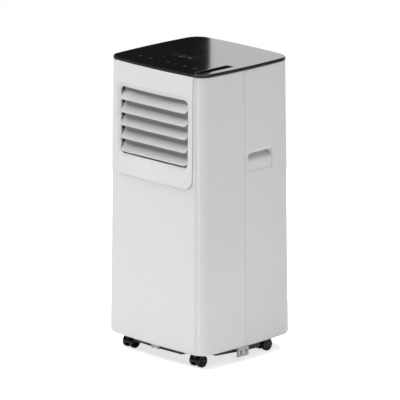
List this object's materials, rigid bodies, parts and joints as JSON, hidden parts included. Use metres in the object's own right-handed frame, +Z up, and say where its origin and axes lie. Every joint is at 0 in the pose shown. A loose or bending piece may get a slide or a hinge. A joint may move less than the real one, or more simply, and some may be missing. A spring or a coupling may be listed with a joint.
{
  "type": "portable air conditioner",
  "caption": "Slim upright portable air conditioner with a tilting louver outlet, black touch top, side grip recesses and swivel casters.",
  "frame": {"origin": "on the floor, under the middle of the whole object's box", "axes": "+Z up, the louver front looks along -Y, +X to the right when facing that front"},
  "size_m": [0.3182, 0.3279, 0.6683],
  "materials": {
    "white_casing": "fine satin moulding",
    "white_slat": "satin moulding",
    "grey_plastic": "satin moulding",
    "filter_mesh": "fine mesh",
    "black_plastic": "satin moulding",
    "rim_black": "glossy black",
    "slot_black": "glossy black",
    "caster_black": "satin moulding",
    "wheel_black": "worn matt tread",
    "steel": "bright drawn steel",
    "black_glass": "polished black panel",
    "circuit_board": "solder mask",
    "duct_foam": "foamed polystyrene",
    "fan_plastic": "satin moulding",
    "motor_steel": "zinc plated",
    "fin_aluminium": "pressed fins",
    "black_steel": "black enamel",
    "copper": "drawn copper",
    "cap_rubber": "soft rubber"
  },
  "bodies": {
    "casing": {"front_shell": "white_casing", "rear_shell": "white_casing", "base_pan": "black_plastic", "seam_tab_left": "grey_plastic", "seam_tab_right": "grey_plastic", "front_tab": "grey_plastic", "outlet_panel": "white_casing", "swing_motor": "grey_plastic", "outlet_duct": "duct_foam", "top_rim": "rim_black", "top_glass": "black_glass", "slot_tray": "slot_black", "control_board": "circuit_board", "handle_cup_left": "white_casing", "handle_cup_right": "white_casing", "duct_collar": "white_casing", "cord_gland": "black_plastic", "partition_deck": "black_plastic", "upper_scroll": "duct_foam", "upper_fan_motor": "motor_steel", "lower_scroll": "duct_foam", "lower_fan_motor": "motor_steel", "exhaust_duct": "duct_foam", "condenser": "fin_aluminium", "evaporator": "fin_aluminium", "compressor": "black_steel", "accumulator": "black_steel", "discharge_pipe": "copper", "suction_pipe": "copper", "electrics_box": "grey_plastic"},
    "slat_1": {"louver_slat_1": "white_slat"},
    "slat_2": {"louver_slat_2": "white_slat"},
    "slat_3": {"louver_slat_3": "white_slat"},
    "slat_4": {"louver_slat_4": "white_slat"},
    "slat_5": {"louver_slat_5": "white_slat"},
    "link": {"louver_link": "grey_plastic"},
    "caster_front_left": {"caster_hood_front_left": "caster_black", "caster_axle_front_left": "steel"},
    "wheel_left_front_left": {"wheel_left_front_left": "wheel_black"},
    "wheel_right_front_left": {"wheel_right_front_left": "wheel_black"},
    "caster_front_right": {"caster_hood_front_right": "caster_black", "caster_axle_front_right": "steel"},
    "wheel_left_front_right": {"wheel_left_front_right": "wheel_black"},
    "wheel_right_front_right": {"wheel_right_front_right": "wheel_black"},
    "caster_rear_left": {"caster_hood_rear_left": "caster_black", "caster_axle_rear_left": "steel"},
    "wheel_left_rear_left": {"wheel_left_rear_left": "wheel_black"},
    "wheel_right_rear_left": {"wheel_right_rear_left": "wheel_black"},
    "caster_rear_right": {"caster_hood_rear_right": "caster_black", "caster_axle_rear_right": "steel"},
    "wheel_left_rear_right": {"wheel_left_rear_right": "wheel_black"},
    "wheel_right_rear_right": {"wheel_right_rear_right": "wheel_black"},
    "upper_intake": {"upper_grille": "white_casing", "upper_filter": "filter_mesh"},
    "lower_intake": {"lower_grille": "white_casing", "lower_filter": "filter_mesh"},
    "lower_drain": {"lower_drain_cap": "cap_rubber"},
    "middle_drain": {"middle_drain_cap": "cap_rubber"},
    "upper_fan": {"upper_blower": "fan_plastic"},
    "lower_fan": {"lower_blower": "fan_plastic"}
  },
  "joints": [
    {"name": "slat_1_tilt", "type": "hinge", "parent": "casing", "child": "slat_1", "pos_m": [0, -0.14518, 0.475], "axis": [1, 0, 0], "range_deg": [-50, 10]},
    {"name": "slat_2_tilt", "type": "hinge", "parent": "casing", "child": "slat_2", "pos_m": [0, -0.14518, 0.5044], "axis": [1, 0, 0], "range_deg": [-50, 10]},
    {"name": "slat_3_tilt", "type": "hinge", "parent": "casing", "child": "slat_3", "pos_m": [0, -0.14518, 0.5338], "axis": [1, 0, 0], "range_deg": [-50, 10]},
    {"name": "slat_4_tilt", "type": "hinge", "parent": "casing", "child": "slat_4", "pos_m": [0, -0.14518, 0.5632], "axis": [1, 0, 0], "range_deg": [-50, 10]},
    {"name": "slat_5_tilt", "type": "hinge", "parent": "casing", "child": "slat_5", "pos_m": [0, -0.14518, 0.5926], "axis": [1, 0, 0], "range_deg": [-50, 10]},
    {"name": "link_pivot", "type": "hinge", "parent": "slat_1", "child": "link", "pos_m": [0.0987, -0.13018, 0.475], "axis": [1, 0, 0], "range_deg": [-10, 50]},
    {"name": "swivel_front_left", "type": "hinge", "parent": "casing", "child": "caster_front_left", "pos_m": [-0.106, -0.131, 0.03], "axis": [0, 0, 1], "continuous": true},
    {"name": "roll_left_front_left", "type": "hinge", "parent": "caster_front_left", "child": "wheel_left_front_left", "pos_m": [-0.1125, -0.123, 0.014], "axis": [1, 0, 0], "continuous": true},
    {"name": "roll_right_front_left", "type": "hinge", "parent": "caster_front_left", "child": "wheel_right_front_left", "pos_m": [-0.0995, -0.123, 0.014], "axis": [1, 0, 0], "continuous": true},
    {"name": "swivel_front_right", "type": "hinge", "parent": "casing", "child": "caster_front_right", "pos_m": [0.106, -0.131, 0.03], "axis": [0, 0, 1], "continuous": true},
    {"name": "roll_left_front_right", "type": "hinge", "parent": "caster_front_right", "child": "wheel_left_front_right", "pos_m": [0.0995, -0.123, 0.014], "axis": [1, 0, 0], "continuous": true},
    {"name": "roll_right_front_right", "type": "hinge", "parent": "caster_front_right", "child": "wheel_right_front_right", "pos_m": [0.1125, -0.123, 0.014], "axis": [1, 0, 0], "continuous": true},
    {"name": "swivel_rear_left", "type": "hinge", "parent": "casing", "child": "caster_rear_left", "pos_m": [-0.115, 0.064, 0.03], "axis": [0, 0, 1], "continuous": true},
    {"name": "roll_left_rear_left", "type": "hinge", "parent": "caster_rear_left", "child": "wheel_left_rear_left", "pos_m": [-0.1215, 0.072, 0.014], "axis": [1, 0, 0], "continuous": true},
    {"name": "roll_right_rear_left", "type": "hinge", "parent": "caster_rear_left", "child": "wheel_right_rear_left", "pos_m": [-0.1085, 0.072, 0.014], "axis": [1, 0, 0], "continuous": true},
    {"name": "swivel_rear_right", "type": "hinge", "parent": "casing", "child": "caster_rear_right", "pos_m": [0.115, 0.064, 0.03], "axis": [0, 0, 1], "continuous": true},
    {"name": "roll_left_rear_right", "type": "hinge", "parent": "caster_rear_right", "child": "wheel_left_rear_right", "pos_m": [0.1085, 0.072, 0.014], "axis": [1, 0, 0], "continuous": true},
    {"name": "roll_right_rear_right", "type": "hinge", "parent": "caster_rear_right", "child": "wheel_right_rear_right", "pos_m": [0.1215, 0.072, 0.014], "axis": [1, 0, 0], "continuous": true},
    {"name": "upper_intake_pull", "type": "slide", "parent": "casing", "child": "upper_intake", "axis": [0, 1, 0], "range_m": [0, 0.06]},
    {"name": "lower_intake_pull", "type": "slide", "parent": "casing", "child": "lower_intake", "axis": [0, 1, 0], "range_m": [0, 0.06]},
    {"name": "lower_drain_pull", "type": "slide", "parent": "casing", "child": "lower_drain", "axis": [0, 1, 0], "range_m": [0, 0.02]},
    {"name": "middle_drain_pull", "type": "slide", "parent": "casing", "child": "middle_drain", "axis": [0, 1, 0], "range_m": [0, 0.02]},
    {"name": "upper_fan_spin", "type": "hinge", "parent": "casing", "child": "upper_fan", "pos_m": [0, -0.021, 0.475], "axis": [0, 1, 0], "continuous": true},
    {"name": "lower_fan_spin", "type": "hinge", "parent": "casing", "child": "lower_fan", "pos_m": [0, -0.001, 0.14], "axis": [0, 1, 0], "continuous": true}
  ],
  "couplings": [
    {"joint": "slat_2_tilt", "follows": "slat_1_tilt", "ratio": 1},
    {"joint": "slat_3_tilt", "follows": "slat_1_tilt", "ratio": 1},
    {"joint": "slat_4_tilt", "follows": "slat_1_tilt", "ratio": 1},
    {"joint": "slat_5_tilt", "follows": "slat_1_tilt", "ratio": 1},
    {"joint": "link_pivot", "follows": "slat_1_tilt", "ratio": -1}
  ]
}
